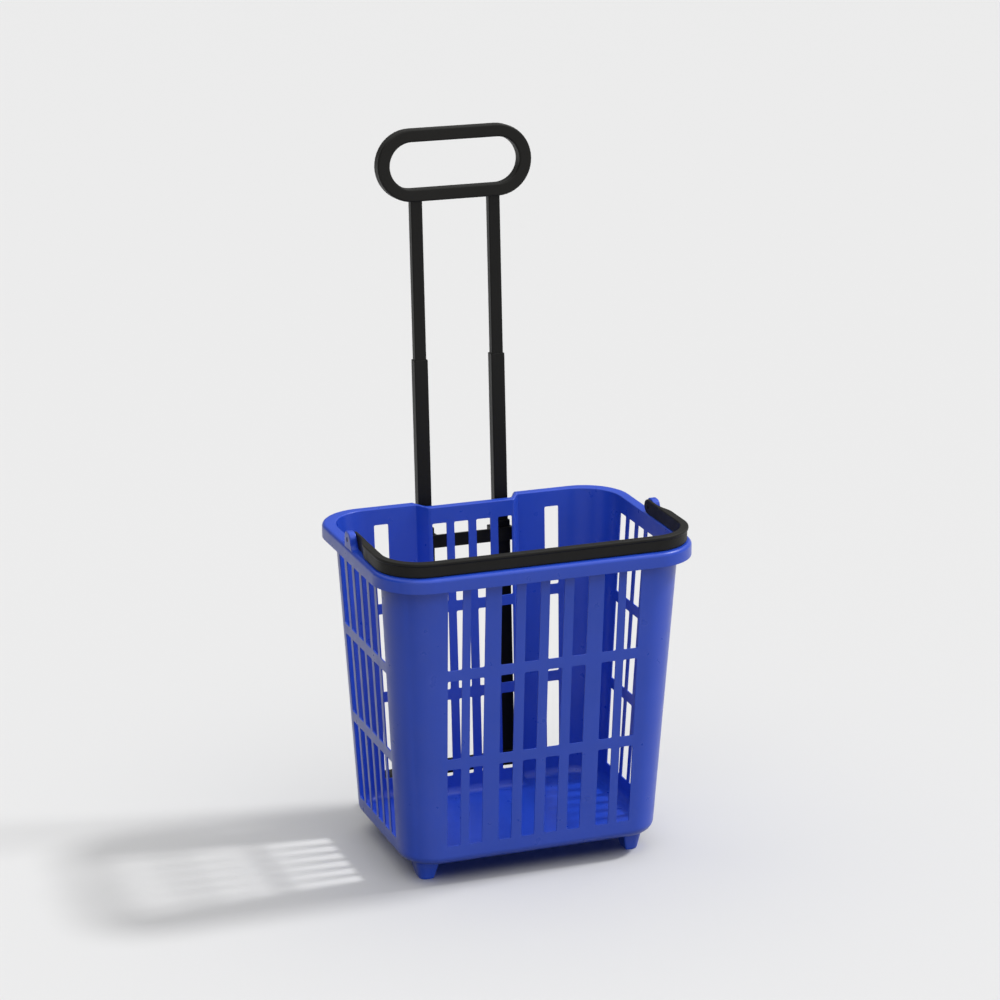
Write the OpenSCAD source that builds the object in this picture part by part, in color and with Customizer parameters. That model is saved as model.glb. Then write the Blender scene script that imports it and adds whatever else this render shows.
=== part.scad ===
// Rolling shopping basket: a moulded slotted basket on two rear wheels and two front feet,
// with a carry handle hinged on the rim and a two-stage telescopic pull handle behind it.
// The basket faces -Y, the pull handle and the wheels are at +Y, and the floor is at z = 0.

/* [Basket] */
// Height of the rim above the floor
rim_height = 420; // [400:2:440]
// Width of the basket walls at the rim, outside
top_w = 392.4; // [386:0.4:398]
// Depth of the basket walls at the rim, outside
top_d = 291; // [288:1:300]
// Width of the basket at its underside, before the bottom edge is rounded
bottom_w = 344.8; // [338:0.4:352]
// Depth of the basket at its underside, before the bottom edge is rounded
bottom_d = 243; // [239:1:248]
// Height of the underside above the floor
floor_z = 26; // [24:0.5:28]
// Thickness of the moulded walls and floor
wall = 1.8; // [1.6:0.1:2.4]
// Radius of the upright corners at the rim
top_corner_r = 57; // [52:1:58]
// Radius of the upright corners at the underside
bottom_corner_r = 46; // [42:1:50]
// Radius of the rounded bottom edge
bottom_edge_r = 13; // [11:1:16]

/* [Rim] */
// How far the rim stands out from the walls
rim_out = 14.3; // [13.5:0.1:15]
// Height of the skirt that hangs from the rim
skirt_h = 18.5; // [16:0.5:20]
// Radius of the rounded upper edge of the rim
rim_edge_r = 4; // [3:0.5:5]
// Corner radius of the rim, outside
rim_corner_r = 63; // [60:1:66]

/* [Tube recess] */
// Width of the flat panel at the front of the recess
recess_w = 120; // [116:1:124]
// Width of the recess where it opens in the rear wall
recess_mouth_w = 142; // [138:1:146]
// Depth of the recess behind which the tubes run
recess_d = 20.3; // [19:0.1:21]

/* [Slots] */
// Centres of the four front slot columns on each side of the middle, at the top row
front_columns = [15.8, 47.8, 88.3, 118.1];
// Width of the front and rear slots at the top row
slot_w = 19.4; // [17:0.2:20]
// Number of slot columns in each side wall
side_column_count = 6; // [4:1:6]
// Distance between the side slot columns at the top row
side_pitch = 30; // [28:0.2:30]
// Width of the side slots at the top row
side_slot_w = 20; // [17:0.2:20]
// Centres of the recess slot columns on each side of the middle
recess_columns = [15.3, 45.4];
// Centre of the single slot column in the rear wall beside the recess
rear_column = 118.5; // [116:0.5:120]

/* [Feet] */
// Centre of each front foot, sideways from the middle
foot_x = 140.2; // [136:0.2:142]
// Distance of the front feet ahead of the middle of the basket
foot_y = 84.5; // [82:0.5:88]
// Width of a foot where it touches the floor
foot_w = 19; // [17:0.5:21]
// Depth of a foot where it touches the floor
foot_d = 23; // [20:1:25]

/* [Carry handle] */
// Height of the carry handle bar
bail_h = 18.4; // [16:0.2:18.4]
// Thickness of the carry handle bar
bail_t = 11.2; // [9:0.2:12]
// Position of the hinge behind the middle of the basket
hinge_y = 2.5; // [0:0.5:6]
// Diameter of the hinge pins
pin_d = 6; // [5:0.5:7]

/* [Pull handle] */
// Distance of each tube from the middle
tube_x = 52.9; // [52:0.1:54]
// Distance from the rear wall to the middle of the tubes
tube_back = 18.5; // [18:0.5:20]
// Height of the grip from outside to outside
grip_h = 93; // [86:1:97]
// Width of the grip
grip_w = 209; // [198:1:218]
// Thickness of the grip ring
grip_t = 16.5; // [14:0.5:18]
// Depth of the grip from front to rear
grip_d = 18; // [17:0.5:20]

/* [Wheels] */
// Diameter of the wheels
wheel_d = 50; // [46:1:50]
// Width of the wheels
wheel_w = 20; // [16:1:22]
// Diameter of the axle
axle_d = 8; // [6:0.5:8]

/* [Hidden] */
$fn = 48;

basket_blue = "#3a56c8";
plastic_black = "#242422";
tube_black = "#1d1d1c";
steel_grey = "#9a9ea2";
tyre_grey = "#3a3a3c";

// Everything the leaning parts share: the rear wall and the tubes lean back by the same angle.
wall_run = rim_height - floor_z;
lean = atan((top_d - bottom_d) / 2 / wall_run);
thin = 0.01;
hull_fn = 32;

// Slot rows, each [lower edge, upper edge], measured down from the rim.
row_tops = [21.8, 142.1, 261.9];
row_heights = [106.3, 105.6, 105];
slot_top = rim_height - row_tops[0];
slot_bottom = rim_height - row_tops[2] - row_heights[2];
// Share by which the front and rear columns close up, and the slots narrow, down to the bottom row.
column_closing = 0.031;
slot_narrowing = 0.108;
side_closing = 0.14;
side_centre_y = 0.5;

// Rim and hinge.
rim_w = top_w + 2 * rim_out;
rim_d = top_d + 26;
rim_band = 13;
lug_t = 9.5;
lug_out = rim_w / 2 - 0.8;
lug_in = lug_out - lug_t;
lug_r = 11.8;
lug_z = rim_height + 8.2;
hinge_z = rim_height + 9.7;
fit = 0.08;

// Carry handle, seen from above.
bail_out = rim_w / 2 - 3.6;
bail_in = bail_out - bail_t;
bail_front = rim_d / 2 - 5.5;
bail_corner_r = 59;
bail_z = rim_height + 0.4;
arm_t = 3.8;
arm_end_r = 9.2;
arm_step_y = 36;
arm_full_y = 54;

// Telescopic stages: outside sizes, walls, and heights along the tubes from the rim line.
outer_size = [22.5, 19];
middle_size = [18.5, 15];
inner_size = [15.5, 12];
outer_wall = 1.2;
middle_wall = 0.9;
inner_wall = 1.2;
slide_gap = 0.1;
outer_foot = -370.4;
outer_top = -37;
middle_top = 187;
grip_foot = 393.6;
bush_h = 40;
socket_depth = 10;
stage_gap = 0.5;
glide_h = 12;
spigot_h = 10;
middle_foot = outer_top - bush_h - stage_gap;
inner_foot = middle_top - bush_h - stage_gap;

// Crossbars that hold the outer tubes against the rear wall.
upper_bar_top = -45.7;
upper_bar_h = 17.2;
lower_bar_top = -353.8;
lower_bar_h = 19.6;
bar_front = 4;
ear_in = 73;
ear_half_w = 100;
ear_front = 0.4;
ear_back = 8;
clamp_t = 3;
boss_points = [for (s = [-1, 1]) each [[s * 84, upper_bar_top - upper_bar_h / 2],
    [s * 94, lower_bar_top - lower_bar_h / 2]]];
boss_r = 4.5;
boss_h = 5.5;
screw_r = 2;
screw_hole_r = 2.2;
screw_head_r = 4;
screw_head_h = 2.6;

// Wheels and axle.
axle_y = 154;
axle_z = wheel_d / 2;
cheek_in = 80;
cheek_out = 88;
axle_boss_out = 95.5;
axle_boss_r = 9;
wheel_in = 96;
hub_r = wheel_d / 2 - 5;
cap_t = 4.5;
cap_gap = 0.5;
cap_r = 8;

// The origin lies on the floor under the middle of the whole outline, grip included.
grip_top_y = top_d / 2 + (grip_foot + grip_h) * sin(lean) + (tube_back + grip_d / 2) * cos(lean);
centre_y = (grip_top_y - rim_d / 2) / 2;

module placed() {
    translate([0, -centre_y, 0]) children();
}

// Frame whose Z runs up along the leaning rear wall from the rim line and whose Y is the
// distance behind the outer face of that wall.
module leaning() {
    placed() translate([0, top_d / 2, rim_height]) rotate([-lean, 0, 0]) children();
}

// Rounded rectangle with true arcs, centred.
module rounded_plate(w, d, r) {
    square([w - 2 * r, d], center = true);
    square([w, d - 2 * r], center = true);
    for (sx = [-1, 1], sy = [-1, 1]) {
        translate([sx * (w / 2 - r), sy * (d / 2 - r)]) circle(r = r);
    }
}

// Four discs at the corners of a rounded rectangle, for the hulls.
module corner_discs(w, d, r, z, h) {
    for (sx = [-1, 1], sy = [-1, 1]) {
        translate([sx * (w / 2 - r), sy * (d / 2 - r), z]) cylinder(r = r, h = h, $fn = hull_fn);
    }
}

// Tapered tub with a rounded bottom edge: the whole outside at inset = 0, the hollow at inset = wall.
module tub(inset, base_z, top_z) {
    edge_r = bottom_edge_r - inset;
    slope_w = (top_w - bottom_w) / wall_run;
    slope_d = (top_d - bottom_d) / wall_run;
    hull() {
        for (angle = [0, 30, 60, 90]) {
            z = base_z + edge_r * (1 - sin(angle));
            cut = edge_r * (1 - cos(angle));
            w = bottom_w + slope_w * (z - floor_z) - 2 * inset - 2 * cut;
            d = bottom_d + slope_d * (z - floor_z) - 2 * inset - 2 * cut;
            corner_discs(w, d, bottom_corner_r - inset - cut, z, thin);
        }
        corner_discs(top_w + slope_w * (top_z - rim_height) - 2 * inset,
            top_d + slope_d * (top_z - rim_height) - 2 * inset, top_corner_r - inset, top_z - thin, thin);
    }
}

// Prism that cuts the tube recess, grown by the wall thickness where it bounds the hollow.
module recess_prism(grow, low, high) {
    front = -recess_d - grow;
    half_in = recess_w / 2 - wall + grow * 0.74;
    half_out = recess_mouth_w / 2 - wall + grow * 0.74;
    translate([0, top_d / 2, rim_height]) rotate([-lean, 0, 0]) translate([0, 0, low]) {
        linear_extrude(high - low) {
            polygon([[-half_in, front], [half_in, front], [half_out, front + recess_d + grow],
                [half_out, 60], [-half_out, 60], [-half_out, front + recess_d + grow]]);
        }
    }
}

// Notch in the rim that lets the tubes pass, grown inward for the skirt that lines it.
module rim_notch(grow) {
    front = top_d / 2 - recess_d - wall + rim_band - grow;
    half_in = recess_w / 2 - wall + grow;
    half_out = recess_mouth_w / 2 - 1.5 + grow;
    translate([0, 0, rim_height - 60]) linear_extrude(80) {
        polygon([[-half_in, front], [half_in, front], [half_out, rim_d / 2], [half_out, 220],
            [-half_out, 220], [-half_out, rim_d / 2]]);
    }
}

module rim_block() {
    hull() {
        corner_discs(rim_w, rim_d, rim_corner_r, rim_height - skirt_h, skirt_h - rim_edge_r);
        for (angle = [30, 60, 90]) {
            cut = rim_edge_r * (1 - cos(angle));
            z = rim_height - rim_edge_r * (1 - sin(angle)) - thin;
            corner_discs(rim_w - 2 * cut, rim_d - 2 * cut, rim_corner_r - cut, z, thin);
        }
    }
}

module rim_hollow() {
    translate([0, 0, rim_height - skirt_h - 1]) linear_extrude(skirt_h + 1 - wall) {
        rounded_plate(rim_w - 2 * wall, rim_d - 2 * wall, rim_corner_r - wall);
    }
}

// One slot outline in the plane of a wall: x is the place along the wall, y is the height.
module slot_outline(centre, width, closing, row) {
    high = rim_height - row_tops[row];
    low = high - row_heights[row];
    span = slot_top - slot_bottom;
    high_share = (slot_top - high) / span;
    low_share = (slot_top - low) / span;
    high_c = centre * (1 - closing * high_share);
    low_c = centre * (1 - closing * low_share);
    high_w = width / 2 * (1 - slot_narrowing * high_share);
    low_w = width / 2 * (1 - slot_narrowing * low_share);
    polygon([[low_c - low_w, low], [low_c + low_w, low], [high_c + high_w, high], [high_c - high_w, high]]);
}

// A set of slot columns, cut through everything between y = near and y = far.
module slot_field(columns, width, closing, near, far) {
    for (centre = columns, row = [0:2]) {
        translate([0, far, 0]) rotate([90, 0, 0]) linear_extrude(far - near) {
            slot_outline(centre, width, closing, row);
        }
    }
}

module all_slots() {
    both_front = [for (c = front_columns, s = [-1, 1]) s * c];
    both_recess = [for (c = recess_columns, s = [-1, 1]) s * c];
    side_columns = [for (i = [0:side_column_count - 1]) (i - (side_column_count - 1) / 2) * side_pitch];
    slot_field(both_front, slot_w, column_closing, -top_d / 2 - 30, -bottom_d / 2 + 30);
    slot_field(both_recess, slot_w, column_closing, bottom_d / 2 - 50, top_d / 2 + 5);
    slot_field([-rear_column, rear_column], slot_w, column_closing, bottom_d / 2 - 20, top_d / 2 + 5);
    for (turn = [-90, 90]) {
        translate([0, side_centre_y, 0]) rotate([0, 0, turn]) {
            slot_field(side_columns, side_slot_w, side_closing, bottom_w / 2 - 30, top_w / 2 + 20);
        }
    }
}

// One level of a front foot: three tight corners, and an outer front corner that follows the basket.
module foot_level(side, spread, z, h) {
    w = foot_w / 2 + spread;
    d = foot_d / 2 + spread;
    tight_r = 2;
    round_r = w - 0.5;
    translate([side * foot_x, -foot_y, z]) {
        for (corner = [[-1, -1], [-1, 1], [1, 1]]) {
            translate([side * corner[0] * (w - tight_r), corner[1] * (d - tight_r), 0]) {
                cylinder(r = tight_r, h = h, $fn = 16);
            }
        }
        translate([side * (w - round_r), -d + round_r, 0]) cylinder(r = round_r, h = h, $fn = hull_fn);
    }
}

module front_foot(side) {
    hull() {
        foot_level(side, -0.8, 0, 1);
        foot_level(side, 0, 2.5, 1);
        foot_level(side, 5.7, floor_z, wall);
    }
}

// Upright hinge lug on the rim, with the bore that holds the pin.
module hinge_lug(side) {
    low = rim_height - 10;
    translate([side > 0 ? lug_in : -lug_out, 0, 0]) rotate([90, 0, 90]) difference() {
        linear_extrude(lug_t) {
            translate([hinge_y - lug_r, low]) square([2 * lug_r, lug_z - low]);
            translate([hinge_y, lug_z]) circle(r = lug_r);
        }
        translate([hinge_y, hinge_z, -1]) cylinder(d = pin_d, h = lug_t + 2);
    }
}

// Screw bosses on the outer face of the rear wall, under the ears of both crossbars.
module wall_bosses() {
    for (p = boss_points) {
        translate([p[0], -wall / 2, p[1]]) rotate([-90, 0, 0]) cylinder(r = boss_r, h = boss_h + wall / 2);
    }
}

module boss_pilots() {
    for (p = boss_points) {
        translate([p[0], -0.5, p[1]]) rotate([-90, 0, 0]) cylinder(r = screw_r, h = boss_h + 1);
    }
}

module basket_shell() {
    color(basket_blue) {
        placed() difference() {
            union() {
                difference() {
                    rim_block();
                    rim_notch(0);
                    difference() {
                        rim_hollow();
                        rim_notch(wall);
                    }
                }
                difference() {
                    tub(0, floor_z, rim_height - 0.5);
                    recess_prism(0, -600, 100);
                }
                for (side = [-1, 1]) front_foot(side);
                translate([0, top_d / 2, rim_height]) rotate([-lean, 0, 0]) wall_bosses();
                for (side = [-1, 1]) hinge_lug(side);
            }
            difference() {
                tub(wall, floor_z + wall, rim_height + 40);
                recess_prism(wall, -600, 100);
            }
            all_slots();
            translate([0, top_d / 2, rim_height]) rotate([-lean, 0, 0]) boss_pilots();
        }
    }
}

// Rectangular tube or sleeve standing in the leaning frame.
module tube(side, size, wall_t, low, high) {
    translate([side * tube_x, tube_back, low]) difference() {
        linear_extrude(high - low) square(size, center = true);
        translate([0, 0, -1]) linear_extrude(high - low + 2) {
            square([size[0] - 2 * wall_t, size[1] - 2 * wall_t], center = true);
        }
    }
}

module outer_tube(side) {
    color(tube_black) leaning() tube(side, outer_size, outer_wall, outer_foot, outer_top);
}

// Plastic sleeve in the mouth of a tube: it guides the next stage and stops it pulling out.
module mouth_bush(side, size, wall_t, next_size, top) {
    bore = [size[0] - 2 * wall_t, size[1] - 2 * wall_t];
    sleeve_t = (bore[0] - next_size[0]) / 2 - slide_gap;
    color(plastic_black) leaning() tube(side, bore, sleeve_t, top - bush_h, top);
}

// Plug under the foot of a sliding tube, a close running fit in the tube around it.
module glide(side, around, around_wall, own, own_wall, foot) {
    body = [around[0] - 2 * around_wall - 2 * slide_gap, around[1] - 2 * around_wall - 2 * slide_gap];
    color(plastic_black) leaning() translate([side * tube_x, tube_back, foot]) {
        translate([0, 0, -glide_h]) linear_extrude(glide_h) square(body, center = true);
        linear_extrude(spigot_h) {
            square([own[0] - 2 * own_wall, own[1] - 2 * own_wall], center = true);
        }
    }
}

// Outline of a crossbar from above: the bar between the tubes, the clamps round them, the ears.
module crossbar_outline() {
    clamp_w = outer_size[0] / 2 + clamp_t;
    clamp_back = tube_back + outer_size[1] / 2 + clamp_t;
    translate([-tube_x, bar_front]) square([2 * tube_x, ear_back - bar_front]);
    for (side = [-1, 1]) {
        translate([side * tube_x - clamp_w, bar_front]) square([2 * clamp_w, clamp_back - bar_front]);
        translate([side > 0 ? ear_in : -ear_half_w, ear_front]) {
            square([ear_half_w - ear_in, ear_back - ear_front]);
        }
        translate([side > 0 ? tube_x : -ear_in - 1, bar_front]) {
            square([ear_in + 1 - tube_x, ear_back - bar_front]);
        }
    }
}

module ear_holes() {
    for (p = boss_points) {
        translate([p[0], ear_front - 1, p[1]]) rotate([-90, 0, 0]) {
            cylinder(r = boss_r + 0.15, h = boss_h + 1);
            cylinder(r = screw_hole_r, h = ear_back + 5);
        }
    }
}

module tube_holes(low, high) {
    for (side = [-1, 1]) {
        translate([side * tube_x, tube_back, low]) linear_extrude(high - low) square(outer_size, center = true);
    }
}

module upper_crossbar() {
    color(plastic_black) leaning() difference() {
        translate([0, 0, upper_bar_top - upper_bar_h]) linear_extrude(upper_bar_h) crossbar_outline();
        tube_holes(upper_bar_top - upper_bar_h - 1, upper_bar_top + 1);
        ear_holes();
    }
}

// Web that carries the axle boss down and back from an ear of the lower crossbar.
module axle_cheek(side) {
    rotate([90, 0, 90]) {
        translate([0, 0, side > 0 ? cheek_in : -cheek_out]) linear_extrude(cheek_out - cheek_in) {
            polygon([[125.6, 50], [126.8, 68], [134, 68], [160.5, axle_z + 6.5], [151, axle_z - 8.4]]);
        }
        translate([axle_y, axle_z, side > 0 ? cheek_in : -axle_boss_out]) {
            cylinder(r = axle_boss_r, h = axle_boss_out - cheek_in);
        }
    }
}

module lower_crossbar() {
    color(plastic_black) difference() {
        union() {
            leaning() difference() {
                translate([0, 0, lower_bar_top - lower_bar_h]) linear_extrude(lower_bar_h) crossbar_outline();
                tube_holes(outer_foot, lower_bar_top + 1);
            }
            placed() for (side = [-1, 1]) axle_cheek(side);
        }
        leaning() ear_holes();
        placed() translate([-ear_half_w - 1, axle_y, axle_z]) rotate([0, 90, 0]) {
            cylinder(d = axle_d, h = 2 * ear_half_w + 2);
        }
    }
}

// Self-tapping screws with domed heads, driven from behind through the ears into the bosses.
module crossbar_screws() {
    color(steel_grey) leaning() {
        for (p = boss_points) {
            translate([p[0], 0, p[1]]) rotate([-90, 0, 0]) {
                cylinder(r = screw_r, h = ear_back + 0.1);
                translate([0, 0, ear_back]) cylinder(r = screw_head_r, h = screw_head_h);
            }
        }
    }
}

module wheel_axle() {
    color(steel_grey) placed() {
        translate([-wheel_in - wheel_w - cap_gap - cap_t + 1, axle_y, axle_z]) rotate([0, 90, 0]) {
            cylinder(d = axle_d, h = 2 * (wheel_in + wheel_w + cap_gap + cap_t - 1));
        }
    }
}

// Push-on cap that keeps a wheel on the axle.
module axle_cap(side) {
    start = wheel_in + wheel_w + cap_gap;
    color(plastic_black) placed() translate([side * start, axle_y, axle_z]) rotate([0, side * 90, 0]) {
        difference() {
            cylinder(r = cap_r, h = cap_t);
            translate([0, 0, -1]) cylinder(d = axle_d, h = cap_t);
        }
    }
}

// Hub with a recessed web on both faces, turning on the axle.
module wheel_hub(side) {
    half = wheel_w / 2;
    rim_r = hub_r;
    color(plastic_black) placed() {
        translate([side * (wheel_in + half), axle_y, axle_z]) rotate([0, 90, 0]) rotate_extrude($fn = 64) {
            polygon([[axle_d / 2 + fit, -half], [axle_d / 2 + 3.5, -half], [axle_d / 2 + 3.5, -3],
                [rim_r - 3, -3], [rim_r - 3, -half + 1], [rim_r, -half + 1], [rim_r, half - 1],
                [rim_r - 3, half - 1], [rim_r - 3, 3], [axle_d / 2 + 3.5, 3],
                [axle_d / 2 + 3.5, half], [axle_d / 2 + fit, half]]);
        }
    }
}

// Soft tyre with rounded shoulders, pressed on the hub.
module wheel_tyre(side) {
    half = wheel_w / 2 - 1;
    shoulder = 2.5;
    color(tyre_grey) placed() {
        translate([side * (wheel_in + wheel_w / 2), axle_y, axle_z]) rotate([0, 90, 0]) {
            rotate_extrude($fn = 64) {
                translate([hub_r, -half]) square([wheel_d / 2 - hub_r - shoulder, 2 * half]);
                translate([hub_r, -half + shoulder]) square([wheel_d / 2 - hub_r, 2 * (half - shoulder)]);
                for (end = [-1, 1]) {
                    translate([wheel_d / 2 - shoulder, end * (half - shoulder)]) circle(r = shoulder, $fn = 32);
                }
            }
        }
    }
}

module handle_pin(side) {
    start = lug_in - arm_t - 1;
    color(plastic_black) placed() translate([side * start, hinge_y, hinge_z]) rotate([0, side * 90, 0]) {
        cylinder(d = pin_d, h = lug_out - start - 0.3);
    }
}

module middle_tube(side) {
    color(tube_black) leaning() tube(side, middle_size, middle_wall, middle_foot, middle_top);
}

module inner_tube(side) {
    color(tube_black) leaning() difference() {
        tube(side, inner_size, inner_wall, inner_foot, grip_foot + socket_depth);
        grip_screw_holes(screw_r);
    }
}

// Pair of holes for the screws that fix the grip on the tubes, entered from behind.
module grip_screw_holes(r) {
    for (side = [-1, 1]) {
        translate([side * tube_x, tube_back, grip_foot + socket_depth / 2]) rotate([-90, 0, 0]) {
            cylinder(r = r, h = grip_d);
        }
    }
}

// Upright stadium ring, with sockets in its lower bar for the inner tubes.
module grip() {
    centre_z = grip_foot + grip_h / 2;
    straight = grip_w - grip_h;
    color(plastic_black) leaning() difference() {
        translate([0, tube_back + grip_d / 2, centre_z]) rotate([90, 0, 0]) linear_extrude(grip_d) difference() {
            stadium(straight, grip_h / 2);
            stadium(straight, grip_h / 2 - grip_t);
        }
        for (side = [-1, 1]) {
            translate([side * tube_x, tube_back, grip_foot - 1]) linear_extrude(socket_depth + 1) {
                square(inner_size, center = true);
            }
        }
        grip_screw_holes(screw_hole_r);
        for (side = [-1, 1]) {
            translate([side * tube_x, tube_back + grip_d / 2 - screw_head_h, grip_foot + socket_depth / 2]) {
                rotate([-90, 0, 0]) cylinder(r = screw_head_r - 0.8, h = screw_head_h + 1);
            }
        }
    }
}

module stadium(straight, r) {
    square([straight, 2 * r], center = true);
    for (side = [-1, 1]) translate([side * straight / 2, 0]) circle(r = r, $fn = 96);
}

module grip_screws() {
    head_r = screw_head_r - 1;
    color(steel_grey) leaning() for (side = [-1, 1]) {
        translate([side * tube_x, tube_back + inner_size[1] / 2 - inner_wall, grip_foot + socket_depth / 2]) {
            rotate([-90, 0, 0]) {
                cylinder(r = screw_r, h = grip_d / 2 - inner_size[1] / 2 + inner_wall - screw_head_h + 0.1);
                translate([0, 0, grip_d / 2 - inner_size[1] / 2 + inner_wall - screw_head_h]) {
                    cylinder(r = head_r, h = screw_head_h - 0.3);
                }
            }
        }
    }
}

// Flat U-shaped bar that lies on the front rim, with thin arm ends inboard of the lugs.
module carry_handle() {
    inner_face = lug_in - arm_t - 0.35;
    color(plastic_black) placed() difference() {
        union() {
            translate([0, 0, bail_z]) linear_extrude(bail_h) difference() {
                rounded_plate(2 * bail_out, 2 * bail_front, bail_corner_r);
                rounded_plate(2 * inner_face, 2 * (bail_front - bail_t), bail_corner_r - bail_t);
                translate([-bail_out - 1, hinge_y]) square([2 * bail_out + 2, 2 * bail_front]);
                for (side = [-1, 1]) {
                    polygon([[side * (inner_face + arm_t), hinge_y + 1], [side * (inner_face + arm_t), -arm_step_y],
                        [side * (bail_out + 1), -arm_full_y], [side * (bail_out + 1), hinge_y + 1]]);
                }
            }
            for (side = [-1, 1]) {
                translate([side > 0 ? inner_face : -inner_face - arm_t, hinge_y, hinge_z]) rotate([0, 90, 0]) {
                    cylinder(r = arm_end_r, h = arm_t);
                }
            }
        }
        translate([-bail_out, hinge_y, hinge_z]) rotate([0, 90, 0]) {
            cylinder(d = pin_d + 2 * fit, h = 2 * bail_out);
        }
    }
}

basket_shell();
outer_tube(-1);  // outer_tube_left
outer_tube(1);  // outer_tube_right
mouth_bush(-1, outer_size, outer_wall, middle_size, outer_top);  // outer_bush_left
mouth_bush(1, outer_size, outer_wall, middle_size, outer_top);  // outer_bush_right
upper_crossbar();
lower_crossbar();
crossbar_screws();
wheel_axle();
axle_cap(-1);  // axle_cap_left
axle_cap(1);  // axle_cap_right
handle_pin(-1);  // handle_pin_left
handle_pin(1);  // handle_pin_right
middle_tube(-1);  // middle_tube_left
middle_tube(1);  // middle_tube_right
mouth_bush(-1, middle_size, middle_wall, inner_size, middle_top);  // middle_bush_left
mouth_bush(1, middle_size, middle_wall, inner_size, middle_top);  // middle_bush_right
union() {  // middle_glide_left
    glide(-1, outer_size, outer_wall, middle_size, middle_wall, middle_foot);
}
union() {  // middle_glide_right
    glide(1, outer_size, outer_wall, middle_size, middle_wall, middle_foot);
}
inner_tube(-1);  // inner_tube_left
inner_tube(1);  // inner_tube_right
union() {  // inner_glide_left
    glide(-1, middle_size, middle_wall, inner_size, inner_wall, inner_foot);
}
union() {  // inner_glide_right
    glide(1, middle_size, middle_wall, inner_size, inner_wall, inner_foot);
}
grip();
grip_screws();
carry_handle();
wheel_hub(-1);  // wheel_hub_left
wheel_hub(1);  // wheel_hub_right
wheel_tyre(-1);  // wheel_tyre_left
wheel_tyre(1);  // wheel_tyre_right
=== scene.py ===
"""Looks for the rolling shopping basket: moulded shell, handles, tubes and wheels.

Lengths are written in millimetres in the basket's own frame, whose y = 0 is the middle of the
basket, and place() turns them into metres in the shared frame.
"""

import math

import bmesh
import bpy
from mathutils import Matrix, Vector
from mathutils.geometry import delaunay_2d_cdt


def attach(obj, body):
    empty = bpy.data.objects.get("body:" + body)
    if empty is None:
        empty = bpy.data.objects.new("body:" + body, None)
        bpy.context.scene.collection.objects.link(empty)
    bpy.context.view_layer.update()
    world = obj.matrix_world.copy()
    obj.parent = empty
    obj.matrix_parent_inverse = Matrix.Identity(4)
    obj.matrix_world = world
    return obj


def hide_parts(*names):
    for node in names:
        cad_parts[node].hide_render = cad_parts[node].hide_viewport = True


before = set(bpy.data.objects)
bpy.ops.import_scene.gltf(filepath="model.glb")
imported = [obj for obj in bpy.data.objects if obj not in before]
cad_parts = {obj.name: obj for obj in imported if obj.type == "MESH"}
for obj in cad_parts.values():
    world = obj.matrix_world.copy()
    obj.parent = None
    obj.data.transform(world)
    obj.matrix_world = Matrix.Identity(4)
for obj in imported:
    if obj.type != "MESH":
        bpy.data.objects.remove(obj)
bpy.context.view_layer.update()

CENTRE_Y = 22.0174

# Basket. Pairs of halves are (half width, half depth); CORNER_R is (at the floor, at the rim).
RIM_Z = 420.0
FLOOR_Z = 26.0
WALL = 1.8
TOP_HALF = (196.2, 145.5)
BOTTOM_HALF = (172.4, 121.5)
CORNER_R = (46.0, 57.0)
EDGE_R = 13.0
LEAN = math.atan((TOP_HALF[1] - BOTTOM_HALF[1]) / (RIM_Z - FLOOR_Z))
RECESS = 20.34
PANEL_HALF, MOUTH_HALF = 58.2, 69.2
MOUTH_R, PANEL_R = 3.5, 3.0
BIG, SMALL = 14, 4  # steps in the arcs of large and small corners

# Rim
RIM_HALF = (210.5, 158.5)
RIM_R = 63.0
NOTCH_Y = 136.4
NOTCH_MOUTH, NOTCH_MOUTH_R, NOTCH_R = 69.5, 3.5, 4
SKIRT_H = 18.5
RIM_EDGE_R, RIM_INNER_R = 5.0, 1.5

# Front feet: centre, half size above the eased sole, radius of the tight corners, and levels of
# (spread past that size, height)
FOOT_X, FOOT_Y, FOOT_HALF, FOOT_R = 140.2, -84.5, (9.5, 11.5), 2.0
FOOT_LEVELS = [(-1.5, 0.0), (-0.95, 0.3), (-0.8, 1.0), (0.0, 2.5), (5.7, FLOOR_Z),
               (5.7, FLOOR_Z + 1)]

# Bosses for the crossbar screws: (x, height along the wall), and rings of (radius, back)
BOSSES = [(84.0, -54.3), (94.0, -363.6)]
BOSS_RINGS = [(4.5, -0.9), (4.5, 5.2), (4.2, 5.5)]

# Slots
FRONT_COLUMNS = [15.8, 47.8, 88.3, 118.1]
RECESS_COLUMNS = [15.3, 45.4]
REAR_COLUMN = 118.5
SIDE_COLUMNS = [(i - 2.5) * 30 for i in range(6)]
SIDE_CENTRE_Y = 0.5
ROWS = [(398.2, 291.9), (277.9, 172.3), (158.1, 53.1)]
SLOT_W, SIDE_SLOT_W = 19.4, 20.0
CLOSING, SIDE_CLOSING, NARROWING = 0.031, 0.14, 0.108
SLOT_CORNER_R = 1.8
# Across the wall at a slot's edge: (depth, inset)
SLOT_BEVEL = [(0.0, -0.45), (0.13, -0.13), (0.45, 0.0), (WALL - 0.45, 0.0), (WALL - 0.13, -0.13),
              (WALL, -0.45)]

# Hinge and carry handle
HINGE_Y, HINGE_Z = 2.5, 429.7
LUG_IN, LUG_OUT, LUG_R, LUG_Z = 200.2, 209.7, 11.8, 428.2
LUG_HEAD_R, LUG_EDGE_R, LUG_FLARE, LUG_BORE_R = 8.5, 1.6, 8.0, 3.1
BAIL_OUT, BAIL_IN = 206.9, 196.05
BAIL_FRONT, BAIL_T, BAIL_R = 153.0, 11.2, 59.0
BAIL_Z, BAIL_H = 420.4, 18.4
ARM_T, ARM_R = 3.8, 9.2
ARM_STEP = (-22.0, -54.0)  # y where the thin arm begins to thicken and where it has
OVERHANG = 1.6

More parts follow.
